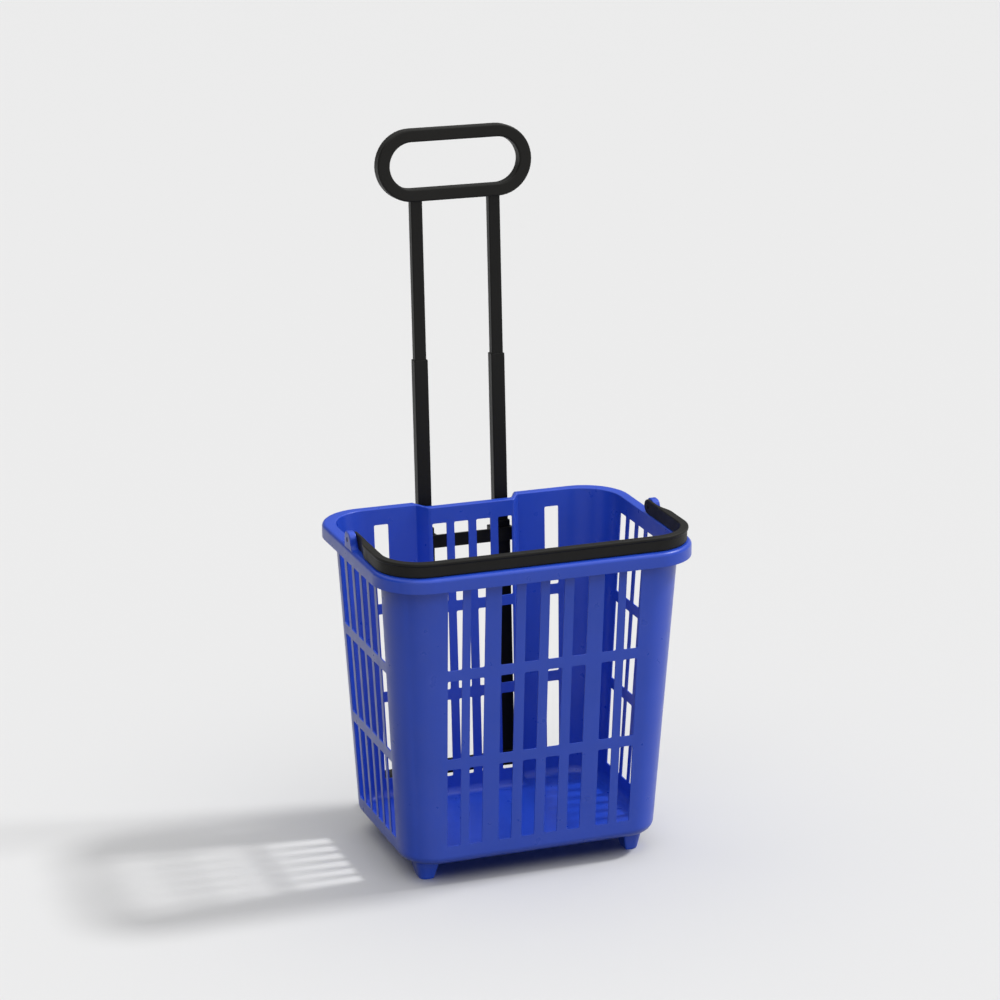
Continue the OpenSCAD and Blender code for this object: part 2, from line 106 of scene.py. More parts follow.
# Pull handle, in the leaning frame
TUBE_X, TUBE_BACK = 52.9, 18.5
TUBE_EASE = 0.3
# stage, body, (width, depth), wall, low end, high end, edge radius
STAGES = [("outer", "basket", (22.5, 19.0), 1.2, -370.4, -37.0, 2.4),
          ("middle", "middle_stage", (18.5, 15.0), 0.9, -77.5, 187.0, 2.0),
          ("inner", "grip_stage", (15.5, 12.0), 1.2, 146.5, 403.6, 1.8)]
GRIP_FOOT, GRIP_H, GRIP_W, GRIP_T, GRIP_D = 393.6, 93.0, 209.0, 16.5, 18.0
GRIP_EDGE_R = 2.8

# Wheels
AXLE_Y, AXLE_Z = 154.0, 25.0
WHEEL_MID, WHEEL_R, HUB_R, HUB_HALF = 106.0, 25.0, 20.0, 10.0
TYRE_HALF, TYRE_SHOULDER = HUB_HALF - 1, 3.0
GROOVES, GROOVE_TOP, GROOVE_BED, GROOVE_DEPTH = (-3.4, 3.4), 1.1, 0.6, 0.9
BORE_R, WEB_HALF, SPOKES = 4.08, 2.6, 6
# Spokes: inner and outer radius, and (x, half thickness) across the wheel
SPOKE_R = (7.4, 17.2)
SPOKE_LAYERS = [(-7.2, 0.7), (-6.8, 1.0), (6.8, 1.0), (7.2, 0.7)]

# Camera at the photograph's angle, and the light
CAMERA_AT = (-1.38921, -3.73916, 1.66841)
CAMERA_AZIMUTH, CAMERA_ELEVATION = -20.398, 16.937
LENS, SENSOR = 118.05, 36
KEY_TRAVEL, KEY_STRENGTH, KEY_ANGLE = (-350, 20, -420), 1.5, 8.0
FILLS = {"front": ((0.05, 1, -0.1), 1.7), "left": ((1, -0.1, -0.1), 0.05),
         "right": ((-1, -0.1, -0.1), 0.8), "rear": ((0, -1, -0.1), 0.4)}
FILL_ANGLE = 100.0
DOME = [(0.0, 0.0), (0.50, 0.0), (0.70, 1.09), (1.0, 1.09)]
BACKDROP = 0.84


def place(p):
    """Shared-frame metres of a point given in the basket's millimetres."""
    return Vector((p[0] / 1000, (p[1] - CENTRE_Y) / 1000, p[2] / 1000))


def leaning(x, back, up):
    """Basket millimetres of a point given along the leaning rear wall."""
    c, s = math.cos(LEAN), math.sin(LEAN)
    return (x, TOP_HALF[1] + back * c + up * s, RIM_Z - back * s + up * c)


# ---------------------------------------------------------------- outlines

def outline(corners, inset=0.0):
    """Closed outline with filleted corners, moved inward by inset.

    corners is a counter-clockwise list of (x, y, radius, steps). Every inset gives the same
    number of points, so outlines of one list join point to point.
    """
    points = []
    count = len(corners)
    for i, (x, y, radius, steps) in enumerate(corners):
        p = Vector((x, y))
        before = (p - Vector(corners[i - 1][:2])).normalized()
        after = (Vector(corners[(i + 1) % count][:2]) - p).normalized()
        n1, n2 = Vector((-before.y, before.x)), Vector((-after.y, after.x))
        side = 1 if before.x * after.y - before.y * after.x > 0 else -1
        r = max(radius - side * inset, 0.4)
        centre = p + (n1 + n2) * ((inset + side * r) / (1 + n1.dot(n2)))
        a0 = math.atan2(-n1.y * side, -n1.x * side)
        a1 = math.atan2(-n2.y * side, -n2.x * side)
        turn = (a1 - a0 + math.pi) % (2 * math.pi) - math.pi
        for k in range(steps + 1):
            a = a0 + turn * k / steps
            points.append((centre.x + r * math.cos(a), centre.y + r * math.sin(a)))
    return points


def body_corners(z):
    """Corners of the body at a height: the leaning walls and the recess for the tubes."""
    share = (z - FLOOR_Z) / (RIM_Z - FLOOR_Z)
    w = BOTTOM_HALF[0] + (TOP_HALF[0] - BOTTOM_HALF[0]) * share
    d = BOTTOM_HALF[1] + (TOP_HALF[1] - BOTTOM_HALF[1]) * share
    r = CORNER_R[0] + (CORNER_R[1] - CORNER_R[0]) * share
    return [(-w, -d, r, BIG), (w, -d, r, BIG), (w, d, r, BIG),
            (MOUTH_HALF, d, MOUTH_R, SMALL), (PANEL_HALF, d - RECESS, PANEL_R, SMALL),
            (-PANEL_HALF, d - RECESS, PANEL_R, SMALL), (-MOUTH_HALF, d, MOUTH_R, SMALL),
            (-w, d, r, BIG)]


def body_ring(z, inset):
    """Outline of the basket's body at a height."""
    return [(x, y, z) for x, y in outline(body_corners(z), inset)]


def rim_ring(z, inset):
    """Outline of the rim's skirt, notched at the recess."""
    w, d = RIM_HALF
    corners = [(-w, -d, RIM_R, BIG), (w, -d, RIM_R, BIG), (w, d, RIM_R, BIG),
               (NOTCH_MOUTH, d, NOTCH_MOUTH_R, SMALL), (PANEL_HALF, NOTCH_Y, NOTCH_R, SMALL),
               (-PANEL_HALF, NOTCH_Y, NOTCH_R, SMALL), (-NOTCH_MOUTH, d, NOTCH_MOUTH_R, SMALL),
               (-w, d, RIM_R, BIG)]
    return [(x, y, z) for x, y in outline(corners, inset)]


def arc(*degrees):
    """(sine, cosine) at each of the angles."""
    return [(math.sin(math.radians(a)), math.cos(math.radians(a))) for a in degrees]


CIRCLE = arc(*range(0, 360, 15))


# ---------------------------------------------------------------- mesh helpers

def add_ring(bm, points):
    return [bm.verts.new(place(p)) for p in points]


def bridge(bm, low, high, skip=()):
    """Quads between two rings of the same length, apart from the segments in skip."""
    count = len(low)
    for i in range(count):
        if i not in skip:
            j = (i + 1) % count
            bm.faces.new((low[i], low[j], high[j], high[i]))


def bridge_all(bm, rings):
    for low, high in zip(rings, rings[1:]):
        bridge(bm, low, high)


def stack(bm, rings):
    """Closed solid through the rings, capped at both ends."""
    made = [add_ring(bm, r) for r in rings]
    bridge_all(bm, made)
    bm.faces.new(made[0][::-1])
    bm.faces.new(made[-1])


def wrap(bm, rings):
    """Closed solid through the rings and back to the first."""
    made = [add_ring(bm, r) for r in rings]
    bridge_all(bm, made + made[:1])


def finish_mesh(bm, name, body, material, nodes, angle=38.0):
    """Turns a bmesh into a shaded piece that rides on a body and stands for CAD nodes."""
    bmesh.ops.remove_doubles(bm, verts=bm.verts, dist=1e-6)
    bmesh.ops.recalc_face_normals(bm, faces=bm.faces)
    mesh = bpy.data.meshes.new(name)
    bm.to_mesh(mesh)
    bm.free()
    for polygon in mesh.polygons:
        polygon.use_smooth = True
    mesh.set_sharp_from_angle(angle=math.radians(angle))
    mesh.materials.append(material)
    obj = bpy.data.objects.new(name, mesh)
    bpy.context.scene.collection.objects.link(obj)
    weighted = obj.modifiers.new("weighted", "WEIGHTED_NORMAL")
    weighted.keep_sharp = True
    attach(obj, body)
    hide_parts(*nodes)


# ---------------------------------------------------------------- materials

def principled(name, metallic=0.0, specular=0.5):
    material = bpy.data.materials.new(name)
    material.use_nodes = True
    shader = material.node_tree.nodes["Principled BSDF"]
    shader.inputs["Metallic"].default_value = metallic
    shader.inputs["Specular IOR Level"].default_value = specular
    return material, material.node_tree, shader


def noise(tree, coords, scale, detail=3.0, stretch=None):
    node = tree.nodes.new("ShaderNodeTexNoise")
    node.inputs["Scale"].default_value = scale
    node.inputs["Detail"].default_value = detail
    if stretch:
        mapping = tree.nodes.new("ShaderNodeMapping")
        mapping.inputs["Scale"].default_value = stretch
        tree.links.new(coords, mapping.inputs["Vector"])
        coords = mapping.outputs["Vector"]
    tree.links.new(coords, node.inputs["Vector"])
    return node.outputs["Fac"]


def spread(tree, value, low, high, from_low=0.3, from_high=0.7):
    node = tree.nodes.new("ShaderNodeMapRange")
    node.inputs["From Min"].default_value = from_low
    node.inputs["From Max"].default_value = from_high
    node.inputs["To Min"].default_value = low
    node.inputs["To Max"].default_value = high
    tree.links.new(value, node.inputs["Value"])
    return node.outputs["Result"]


def finish_material(name, dark, light, rough, grain_scale, grain, stretch=None, metallic=0.0,
                    specular=0.5, mottle_scale=14.0, scuff=0.0):
    """Procedural finish: mottled colour, uneven gloss, and grain in the surface."""
    material, tree, shader = principled(name, metallic, specular)
    coords = tree.nodes.new("ShaderNodeTexCoord").outputs["Object"]
    mottle = noise(tree, coords, mottle_scale, 4.0)
    ramp = tree.nodes.new("ShaderNodeValToRGB")
    ramp.color_ramp.elements[0].position = 0.3
    ramp.color_ramp.elements[0].color = (*dark, 1)
    ramp.color_ramp.elements[1].position = 0.7
    ramp.color_ramp.elements[1].color = (*light, 1)
    tree.links.new(mottle, ramp.inputs["Fac"])
    tree.links.new(ramp.outputs["Color"], shader.inputs["Base Color"])
    gloss = noise(tree, coords, 60.0, 5.0, stretch)
    tree.links.new(spread(tree, gloss, rough[0], rough[1]), shader.inputs["Roughness"])
    fine = noise(tree, coords, grain_scale, 2.0, stretch)
    bump = tree.nodes.new("ShaderNodeBump")
    bump.inputs["Strength"].default_value = grain
    bump.inputs["Distance"].default_value = 0.0002
    tree.links.new(fine, bump.inputs["Height"])
    normal = bump.outputs["Normal"]
    if scuff:
        marks = noise(tree, coords, 35.0, 6.0, (1.0, 1.0, 14.0))
        scratch = tree.nodes.new("ShaderNodeBump")
        scratch.inputs["Strength"].default_value = scuff
        scratch.inputs["Distance"].default_value = 0.0003
        tree.links.new(spread(tree, marks, 0.0, 1.0, 0.62, 0.7), scratch.inputs["Height"])
        tree.links.new(normal, scratch.inputs["Normal"])
        normal = scratch.outputs["Normal"]
    tree.links.new(normal, shader.inputs["Normal"])
    return material


BLUE = finish_material("moulded_blue", (0.016, 0.067, 0.53), (0.019, 0.072, 0.57), (0.27, 0.36),
                       1500.0, 0.10, scuff=0.04)
BLACK = finish_material("moulded_black", (0.0118, 0.0114, 0.0102), (0.0146, 0.0141, 0.0127),
                        (0.42, 0.54), 1500.0, 0.16, scuff=0.05, specular=0.16)
TUBE = finish_material("coated_tube", (0.0084, 0.0082, 0.0077), (0.0110, 0.0107, 0.0100),
                       (0.34, 0.46), 900.0, 0.06, stretch=(1.0, 1.0, 0.04), specular=0.16)
STEEL = finish_material("bright_steel", (0.48, 0.48, 0.47), (0.58, 0.58, 0.57), (0.24, 0.38),
                        1200.0, 0.08, stretch=(0.05, 1.0, 1.0), metallic=1.0)
TYRE = finish_material("tyre_rubber", (0.022, 0.022, 0.023), (0.034, 0.034, 0.035), (0.72, 0.88),
                       1100.0, 0.35, mottle_scale=90.0)


# ---------------------------------------------------------------- basket shell

def slot_corners(centre, width, closing, row):
    """Slot outline in the plane of a wall, as counter-clockwise corners (u, z)."""
    high, low = ROWS[row]
    span = ROWS[0][0] - ROWS[2][1]
    corners = []
    for z, sides in ((low, (-1, 1)), (high, (1, -1))):
        share = (ROWS[0][0] - z) / span
        half = width / 2 * (1 - NARROWING * share)
        mid = centre * (1 - closing * share)
        corners += [(mid + s * half, z, SLOT_CORNER_R, 3) for s in sides]
    return corners


def inside(p, loop):
    """Whether the point p is inside the closed loop."""
    hit = False
    for (x0, y0), (x1, y1) in zip(loop, loop[1:] + loop[:1]):
        if (y0 > p.y) != (y1 > p.y) and p.x < (x1 - x0) * (p.y - y0) / (y1 - y0) + x0:
            hit = not hit
    return hit


def fill_panel(bm, border, holes, to_plane, flip):
    """Flat panel between a border of vertices and the outlines of its slots.

    border and holes hold vertices, and to_plane gives the two coordinates of one in the panel.
    """
    verts = list(border)
    edges = [(i, (i + 1) % len(border)) for i in range(len(border))]
    loops = []
    for hole in holes:
        first = len(verts)
        verts += hole
        edges += [(first + i, first + (i + 1) % len(hole)) for i in range(len(hole))]
        loops.append([to_plane(v.co) for v in hole])
    flat = [Vector(to_plane(v.co)) for v in verts]
    _, _, faces, sources, *_ = delaunay_2d_cdt(flat, edges, [], 0, 1e-9)
    for face in faces:
        ids = [sources[i][0] for i in face]
        mid = sum((flat[i] for i in ids), Vector((0, 0))) / 3
        if any(inside(mid, loop) for loop in loops):
            continue
        a, b, c = (flat[i] for i in ids)
        if abs((b - a).cross(c - a)) < 1e-12:
            continue
        bm.faces.new([verts[i] for i in (ids[::-1] if flip else ids)])


def corner_ends():
    """Index of the last ring point of each corner."""
    ends = []
    for *_, steps in body_corners(RIM_Z):
        ends.append((ends[-1] + 1 if ends else 0) + steps)
    return ends


def fillet_rings(base_z, radius, inset):
    """Rings of the body down a rounded lower edge."""
    return [body_ring(base_z + radius * (1 - sine), inset + radius * (1 - cosine))
            for sine, cosine in arc(0, 12, 25, 40, 55, 72, 90)]


def rim_rings():
    """Rings from under the rim plate round the skirt, over the rim and into the basket."""
    low = RIM_Z - SKIRT_H
    rings = [rim_ring(z, inset) for z, inset in (
        (RIM_Z - WALL, WALL), (low + 0.6, WALL), (low + 0.15, WALL - 0.3), (low, WALL / 2),
        (low + 0.15, 0.3), (low + 0.6, 0.0))]
    rings += [rim_ring(RIM_Z - RIM_EDGE_R * (1 - sine), RIM_EDGE_R * (1 - cosine))
              for sine, cosine in arc(0, 15, 30, 45, 60, 75, 90)]
    return rings + [body_ring(RIM_Z - RIM_INNER_R * (1 - cosine),
                              WALL - RIM_INNER_R * (1 - sine))
                    for sine, cosine in arc(0, 22, 45, 68, 90)]


FRONT, RIGHT, REAR_RIGHT, CHEEK_RIGHT, PANEL, CHEEK_LEFT, REAR_LEFT, LEFT = range(8)


def wall_slots():
    """Slots of each wall: columns, width, closing, axis along the wall, its centre."""
    front = [s * c for c in FRONT_COLUMNS for s in (-1, 1)]
    panel = [s * c for c in RECESS_COLUMNS for s in (-1, 1)]
    side = (SIDE_COLUMNS, SIDE_SLOT_W, SIDE_CLOSING, 1, SIDE_CENTRE_Y)
    blank = ([], 0, 0, 1, 0.0)
    return {
        FRONT: (front, SLOT_W, CLOSING, 0, 0.0), RIGHT: side,
        REAR_RIGHT: ([REAR_COLUMN], SLOT_W, CLOSING, 0, 0.0), CHEEK_RIGHT: blank,
        PANEL: (panel, SLOT_W, CLOSING, 0, 0.0), CHEEK_LEFT: blank,
        REAR_LEFT: ([-REAR_COLUMN], SLOT_W, CLOSING, 0, 0.0), LEFT: side,
    }


def wall_point(wall, u, z, depth):
    """Point of a wall at u along it, at a height and a depth below its outer face."""
    share = (z - FLOOR_Z) / (RIM_Z - FLOOR_Z)
    w = BOTTOM_HALF[0] + (TOP_HALF[0] - BOTTOM_HALF[0]) * share - depth
    d = BOTTOM_HALF[1] + (TOP_HALF[1] - BOTTOM_HALF[1]) * share - depth
    return {FRONT: (u, -d, z), RIGHT: (w, u, z), REAR_RIGHT: (u, d, z),
            PANEL: (u, d - RECESS, z), REAR_LEFT: (u, d, z), LEFT: (-w, u, z)}[wall]


def cut_slot(bm, wall, corners):
    """Walls of one slot, with eased edges. Returns its outlines on both faces of the wall."""
    rings = [[bm.verts.new(place(wall_point(wall, u, z, depth)))
              for u, z in outline(corners, inset)] for depth, inset in SLOT_BEVEL]
    bridge_all(bm, rings)
    return rings[0], rings[-1]


def make_shell():
    bm = bmesh.new()

    # Rings from the underside, out and up to the rim, over it and down inside to the floor.
    outer = [add_ring(bm, r) for r in fillet_rings(FLOOR_Z, EDGE_R, 0.0)][::-1]
    bm.faces.new(outer[0][::-1])
    bridge_all(bm, outer)
    outer_low = outer[-1]
    outer_high = add_ring(bm, body_ring(RIM_Z - WALL, 0.0))
    rim = [add_ring(bm, r) for r in rim_rings()]
    bridge_all(bm, [outer_high] + rim)
    inner_high = rim[-1]
    inner = [add_ring(bm, r) for r in fillet_rings(FLOOR_Z + WALL, EDGE_R - WALL, WALL)]
    inner_low = inner[0]
    bridge_all(bm, inner)
    bm.faces.new(inner[-1])

    # Flat panels take the ring segment after each corner. Corner strips are plain quads.
    ends = corner_ends()
    bridge(bm, outer_low, outer_high, ends)
    bridge(bm, inner_high, inner_low, ends)
    for wall, (columns, width, closing, axis, centre) in wall_slots().items():
        i = ends[wall]
        j = (i + 1) % len(outer_low)
        border_out = [outer_low[i], outer_low[j], outer_high[j], outer_high[i]]
        border_in = [inner_low[i], inner_low[j], inner_high[j], inner_high[i]]
        if not columns:
            bm.faces.new(border_out)
            bm.faces.new(border_in[::-1])
            continue

        # Seen from outside, the axis runs with the ring on the front and right walls.
        along = 1 if wall in (FRONT, RIGHT) else -1

        def to_plane(co):
            return (along * co[axis], co.z)

        holes = []
        for column in columns:
            for row in range(len(ROWS)):
                corners = slot_corners(column, width, closing, row)
                holes.append(cut_slot(bm, wall, [(c[0] + centre, *c[1:]) for c in corners]))
        fill_panel(bm, border_out, [near for near, _ in holes], to_plane, False)
        fill_panel(bm, border_in, [far for _, far in holes], to_plane, True)
    for side in (-1, 1):
        make_foot(bm, side)
        make_lug(bm, side)
        for x, up in BOSSES:
            make_boss(bm, side * x, up)
    finish_mesh(bm, "shell_moulding", "basket", BLUE, ["basket_shell"])


def make_foot(bm, side):
    """Front foot with a round outer front corner, wider towards the floor plate."""
    x, y = side * FOOT_X, FOOT_Y
    rings = []
    for extra, z in FOOT_LEVELS:
        w, d = FOOT_HALF[0] + extra, FOOT_HALF[1] + extra
        left_r, right_r = (FOOT_R, w - 0.5) if side > 0 else (w - 0.5, FOOT_R)
        corners = [(x - w, y - d, left_r, 5), (x + w, y - d, right_r, 5),
                   (x + w, y + d, FOOT_R, 5), (x - w, y + d, FOOT_R, 5)]
        rings.append([(px, py, z) for px, py in outline(corners)])
    stack(bm, rings)


def make_lug(bm, side):
    """Hinge lug with a rounded head, a root that flares to the front, and the bore of the pin."""
    top, low = LUG_Z + LUG_R, RIM_Z - 1.0
    front, rear = HINGE_Y - LUG_R, HINGE_Y + LUG_R - 1.0

    def profile(inset):
        head = outline([(front, low, 0.5, 1), (rear, low, 0.5, 1), (rear, top, LUG_HEAD_R, 7),
                        (front, top, LUG_HEAD_R, 7)], inset)
        root = [(front + inset - LUG_FLARE * (1 - cosine), RIM_Z + LUG_FLARE * (1 - sine))
                for sine, cosine in arc(0, 15, 30, 45, 60, 75, 90)]
        return [(rear - inset, low)] + [p for p in head if p[1] > LUG_Z - 5] + root + \
            [(front + inset - LUG_FLARE, low)]

    layers = [(LUG_IN + LUG_EDGE_R * (1 - sine), LUG_EDGE_R * (1 - cosine))
              for sine, cosine in arc(90, 60, 30, 0)]
    layers += [(LUG_IN + LUG_OUT - x, cut) for x, cut in layers[::-1]]
    rings = [add_ring(bm, [(side * x, y, z) for y, z in profile(cut)]) for x, cut in layers]
    bridge_all(bm, rings)
    ease = 0.4
    bores = [add_ring(bm, [(side * x, HINGE_Y + r * cosine, HINGE_Z + r * sine)
                           for sine, cosine in CIRCLE])
             for x, r in ((LUG_IN, LUG_BORE_R + ease), (LUG_IN + ease, LUG_BORE_R),
                          (LUG_OUT - ease, LUG_BORE_R), (LUG_OUT, LUG_BORE_R + ease))]
    bridge_all(bm, bores)
    for border, hole in ((rings[0], bores[0]), (rings[-1], bores[-1])):
        fill_panel(bm, border, [hole], lambda co: (co[1], co[2]), False)


def make_boss(bm, x, up):
    """Round boss on the rear wall, under the ear of a crossbar."""
    stack(bm, [[leaning(x + radius * cosine, back, up + radius * sine) for sine, cosine in CIRCLE]
               for radius, back in BOSS_RINGS])


# ---------------------------------------------------------------- handles and tubes

def section(half_w, half_h, r, steps=4):
    """Rounded rectangle about the origin."""
    r = max(min(r, half_w - 0.05, half_h - 0.05), 0.02)
    return outline([(-half_w, -half_h, r, steps), (half_w, -half_h, r, steps),
                    (half_w, half_h, r, steps), (-half_w, half_h, r, steps)])


def smooth(t):
    """Eased step from 0 to 1."""
    t = min(max(t, 0.0), 1.0)
    return t * t * (3 - 2 * t)


def bail_stations():
    """Half of the carry handle's path, from the end of the right arm almost to the middle.

    Each station is (inner point, outer point, half height).
    """
    stations = []
    for sine, cosine in arc(*range(0, 91, 10)):
        y = HINGE_Y + ARM_R * cosine
        stations.append(((BAIL_IN, y), (BAIL_IN + ARM_T, y), max(ARM_R * sine, 0.6)))
    length = ARM_STEP[0] - ARM_STEP[1]
    step = [ARM_STEP[0] - length * k / 12 for k in range(13)]
    for y in [-10.0, -16.0] + step + [-70.0, -85.0]:
        share = smooth((ARM_STEP[0] - y) / length)
        out = BAIL_IN + ARM_T + (BAIL_OUT - BAIL_IN - ARM_T) * share
        stations.append(((BAIL_IN, y), (out, y), BAIL_H / 2))
    inner_r = BAIL_R - BAIL_T
    inner_c = (BAIL_IN - inner_r, -BAIL_FRONT + BAIL_T + inner_r)
    outer_c = (BAIL_OUT - BAIL_R, -BAIL_FRONT + BAIL_R)
    for sine, cosine in arc(*range(0, -91, -5)):
        stations.append(((inner_c[0] + inner_r * cosine, inner_c[1] + inner_r * sine),
                         (outer_c[0] + BAIL_R * cosine, outer_c[1] + BAIL_R * sine),
                         BAIL_H / 2))
    return stations + [front_station(110.0), front_station(60.0)]


def front_station(x):
    """Station on the straight front of the carry handle."""
    return ((x, -BAIL_FRONT + BAIL_T), (x, -BAIL_FRONT), BAIL_H / 2)


def bail_ring(inner, outer, half_h):
    """Section of the carry handle: a rounded bar whose top edge stands out past its side."""
    i, o = Vector(inner), Vector(outer)
    mid, across = (i + o) / 2, o - i
    half_t = across.length / 2
    across.normalize()
    points = section(half_t, half_h, 1.5 if half_t > 3 else 0.9)
    tuck = OVERHANG * smooth((half_t - ARM_T / 2) / 3.0)
    side = [(u - tuck, v) for u, v in points[5:10]]
    step = [(half_t - tuck * in_, half_h * up)
            for in_, up in ((1.0, 0.45), (0.9, 0.52), (0.1, 0.64), (0.0, 0.7))]
    ring = []
    for u, v in points[:5] + side + step + points[10:]:
        p = mid + across * u
        ring.append((p.x, p.y, BAIL_Z + BAIL_H / 2 + v))
    return ring


def make_carry_handle():
    bm = bmesh.new()
    right = bail_stations()
    left = [((-i[0], i[1]), (-o[0], o[1]), h) for i, o, h in reversed(right)]
    stack(bm, [bail_ring(*station) for station in right + [front_station(0.0)] + left])
    finish_mesh(bm, "carry_handle_moulding", "carry_handle", BLACK,
                ["carry_handle"])


def make_grip():
    bm = bmesh.new()
    straight = (GRIP_W - GRIP_H) / 2
    radius = GRIP_H / 2 - GRIP_T / 2
    centre_up = GRIP_FOOT + GRIP_H / 2
    bar = section(GRIP_T / 2, GRIP_D / 2, GRIP_EDGE_R, 5)
    rings = []
    for side, start in ((1, -90), (-1, 90)):
        for sine, cosine in arc(*[start + 7.5 * k for k in range(25)]):
            rings.append([leaning(side * straight + (radius + u) * cosine, TUBE_BACK + v,
                                  centre_up + (radius + u) * sine) for u, v in bar])
    wrap(bm, rings)
    finish_mesh(bm, "grip_moulding", "grip_stage", BLACK, ["grip"])


def make_tube(name, node, body, side, size, wall, low, high, radius):
    """Drawn rectangular tube with rounded edges and open ends."""
    bm = bmesh.new()

    def ring(inset, up):
        w, d = size[0] / 2, size[1] / 2
        corners = [(-w, -d, radius, 5), (w, -d, radius, 5), (w, d, radius, 5), (-w, d, radius, 5)]
        return [leaning(side * TUBE_X + x, TUBE_BACK + y, up) for x, y in outline(corners, inset)]

    wrap(bm, [ring(wall, low), ring(TUBE_EASE, low), ring(0, low + TUBE_EASE),
              ring(0, high - TUBE_EASE), ring(TUBE_EASE, high), ring(wall, high)])
    finish_mesh(bm, name, body, TUBE, [node])


# ---------------------------------------------------------------- wheels

def lathe(bm, mid_x, profile):
    """Turns a closed profile of (radius, x) about the axle."""
    wrap(bm, [[(mid_x + x, AXLE_Y + r * cosine, AXLE_Z + r * sine) for r, x in profile]
              for sine, cosine in arc(*range(0, 360, 5))])


def tyre_profile():
    """Grooved tread between rounded shoulders, as a closed profile of (radius, x)."""
    shoulder = [(WHEEL_R - TYRE_SHOULDER * (1 - sine), TYRE_HALF - TYRE_SHOULDER * (1 - cosine))
                for sine, cosine in arc(0, 18, 36, 54, 72, 90)]
    tread = []
    for centre in GROOVES:
        tread += [(WHEEL_R, centre - GROOVE_TOP), (WHEEL_R - GROOVE_DEPTH, centre - GROOVE_BED),
                  (WHEEL_R - GROOVE_DEPTH, centre + GROOVE_BED), (WHEEL_R, centre + GROOVE_TOP)]
    return [(HUB_R, TYRE_HALF)] + shoulder + tread[::-1] + \
        [(r, -x) for r, x in reversed(shoulder)] + [(HUB_R, -TYRE_HALF)]


def hub_profile():
    """Bearing barrel, thin web and rim, as a closed profile of (radius, x)."""
    half = [(HUB_R, TYRE_HALF), (17.5, TYRE_HALF), (17.0, TYRE_HALF - 0.6),
            (16.6, WEB_HALF + 0.8), (15.8, WEB_HALF), (8.6, WEB_HALF), (7.8, WEB_HALF + 0.8),
            (7.5, HUB_HALF - 0.5), (7.0, HUB_HALF), (BORE_R, HUB_HALF)]
    return [(r, -x) for r, x in reversed(half)] + half


def add_spoke(bm, mid, sine, cosine):
    near, far = SPOKE_R
    rings = []
    for x, thick in SPOKE_LAYERS:
        rings.append([(mid + x, AXLE_Y + r * cosine - t * sine, AXLE_Z + r * sine + t * cosine)
                      for r, t in ((near, -thick), (far, -thick), (far, thick), (near, thick))])
    stack(bm, rings)


def make_wheel(side, name):
    mid = side * WHEEL_MID
    body = "wheel_" + name
    bm = bmesh.new()
    lathe(bm, mid, tyre_profile())
    finish_mesh(bm, "tyre_" + name, body, TYRE, ["wheel_tyre_" + name], 50)
    bm = bmesh.new()
    lathe(bm, mid, hub_profile())
    for sine, cosine in arc(*range(0, 360, 360 // SPOKES)):
        add_spoke(bm, mid, sine, cosine)
    finish_mesh(bm, "hub_" + name, body, BLACK, ["wheel_hub_" + name], 50)


# ---------------------------------------------------------------- the object

make_shell()
make_carry_handle()
make_grip()
for side, name in ((-1, "left"), (1, "right")):
    for stage, body, size, wall, low, high, radius in STAGES:
        make_tube(f"{stage}_profile_{name}", f"{stage}_tube_{name}", body, side, size, wall, low,
                  high, radius)
    make_wheel(side, name)

# The remaining CAD nodes keep their shape and get broken edges (in millimetres) and a finish.
CARRIED = {
    "outer_bush": (BLACK, 0.3), "middle_bush": (BLACK, 0.3), "middle_glide": (BLACK, 0.4),
    "inner_glide": (BLACK, 0.4), "upper_crossbar": (BLACK, 0.9), "lower_crossbar": (BLACK, 0.9),
    "crossbar_screws": (STEEL, 0.5), "grip_screws": (STEEL, 0.3), "wheel_axle": (STEEL, 0.6),
    "axle_cap": (BLACK, 1.0), "handle_pin": (BLACK, 0.5),
}
for node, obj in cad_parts.items():
    family = node.replace("_left", "").replace("_right", "")
    if family not in CARRIED:
        continue
    material, width = CARRIED[family]
    obj.data.materials.clear()
    obj.data.materials.append(material)
    weld = obj.modifiers.new("weld", "WELD")
    weld.merge_threshold = 1e-5
    bevel = obj.modifiers.new("bevel", "BEVEL")
    bevel.width = width / 1000
    bevel.segments = 3
    bevel.limit_method = "ANGLE"
    bevel.angle_limit = math.radians(40)
    bevel.use_clamp_overlap = True
    bevel.harden_normals = True


# ---------------------------------------------------------------- stage, light and camera

def make_stage():
    bm = bmesh.new()
    bmesh.ops.create_grid(bm, x_segments=8, y_segments=8, size=30)
    mesh = bpy.data.meshes.new("floor")
    bm.to_mesh(mesh)
    bm.free()
    floor = bpy.data.objects.new("floor", mesh)
    bpy.context.scene.collection.objects.link(floor)
    material, _, shader = principled("pale_floor", specular=0.1)
    shader.inputs["Base Color"].default_value = (0.80, 0.80, 0.80, 1)
    shader.inputs["Roughness"].default_value = 0.9
    mesh.materials.append(material)
    # The low fill lights stand in for the light that a floor throws back.
    floor.visible_diffuse = False
    return floor


def make_light(name, travel, strength, angle, spare=None):
    """Distant soft light; it leaves out the object spare, if one is given."""
    light = bpy.data.lights.new(name, "SUN")
    light.energy = strength
    light.angle = math.radians(angle)
    obj = bpy.data.objects.new(name, light)
    if spare:
        group = bpy.data.collections.new(name + "_spares")
        group.objects.link(spare)
        group.collection_objects[0].light_linking.link_state = "EXCLUDE"
        obj.light_linking.receiver_collection = group
    obj.rotation_mode = "QUATERNION"
    obj.rotation_quaternion = Vector(travel).to_track_quat("-Z", "Y")
    bpy.context.scene.collection.objects.link(obj)


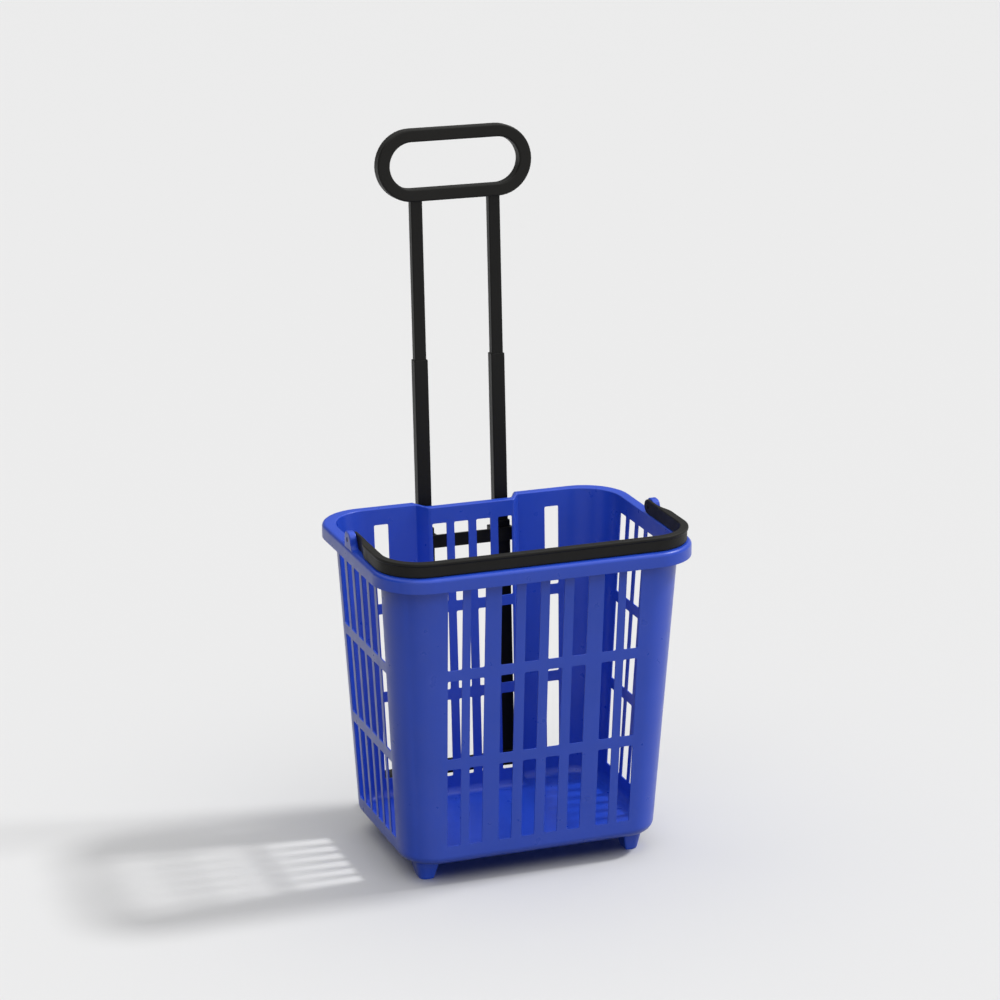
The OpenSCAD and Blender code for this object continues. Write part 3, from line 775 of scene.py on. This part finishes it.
def make_dome(stops, backdrop):
    """Soft dome of light whose strength depends on height, over a plain pale backdrop.

    stops are (sine of the elevation, strength). The camera sees the backdrop's even grey.
    """
    world = bpy.data.worlds.new("studio")
    world.use_nodes = True
    tree = world.node_tree
    split = tree.nodes.new("ShaderNodeSeparateXYZ")
    coords = tree.nodes.new("ShaderNodeTexCoord").outputs["Generated"]
    tree.links.new(coords, split.inputs["Vector"])
    ramp = tree.nodes.new("ShaderNodeValToRGB")
    elements = ramp.color_ramp.elements
    while len(elements) < len(stops):
        elements.new(0.5)
    for element, (height, strength) in zip(elements, stops):
        element.position = height
        element.color = (strength, strength, strength, 1)
    tree.links.new(split.outputs["Z"], ramp.inputs["Fac"])
    lit = tree.nodes["Background"]
    tree.links.new(ramp.outputs["Color"], lit.inputs["Color"])
    seen = tree.nodes.new("ShaderNodeBackground")
    seen.inputs["Color"].default_value = (backdrop, backdrop, backdrop, 1)
    mix = tree.nodes.new("ShaderNodeMixShader")
    camera_ray = tree.nodes.new("ShaderNodeLightPath").outputs["Is Camera Ray"]
    tree.links.new(camera_ray, mix.inputs["Fac"])
    tree.links.new(lit.outputs["Background"], mix.inputs[1])
    tree.links.new(seen.outputs["Background"], mix.inputs[2])
    tree.links.new(mix.outputs["Shader"], tree.nodes["World Output"].inputs["Surface"])
    bpy.context.scene.world = world


def make_camera():
    azimuth, elevation = math.radians(CAMERA_AZIMUTH), math.radians(CAMERA_ELEVATION)
    back = Vector((math.sin(azimuth) * math.cos(elevation),
                   -math.cos(azimuth) * math.cos(elevation), math.sin(elevation)))
    right = Vector((0, 0, 1)).cross(back).normalized()
    up = back.cross(right)
    data = bpy.data.cameras.new("camera")
    data.sensor_width = SENSOR
    data.lens = LENS
    data.clip_start, data.clip_end = 0.05, 200
    camera = bpy.data.objects.new("camera", data)
    pose = Matrix.Identity(4)
    for i in range(3):
        pose[i] = (right[i], up[i], back[i], CAMERA_AT[i])
    camera.matrix_world = pose
    bpy.context.scene.collection.objects.link(camera)
    bpy.context.scene.camera = camera


floor = make_stage()
make_light("key", KEY_TRAVEL, KEY_STRENGTH, KEY_ANGLE)
# Low soft lights all round brighten the upright faces and leave the floor alone.
for side, (travel, strength) in FILLS.items():
    make_light("fill_" + side, travel, strength, FILL_ANGLE, floor)
make_dome(DOME, BACKDROP)
bpy.context.scene.view_settings.view_transform = "Standard"
make_camera()
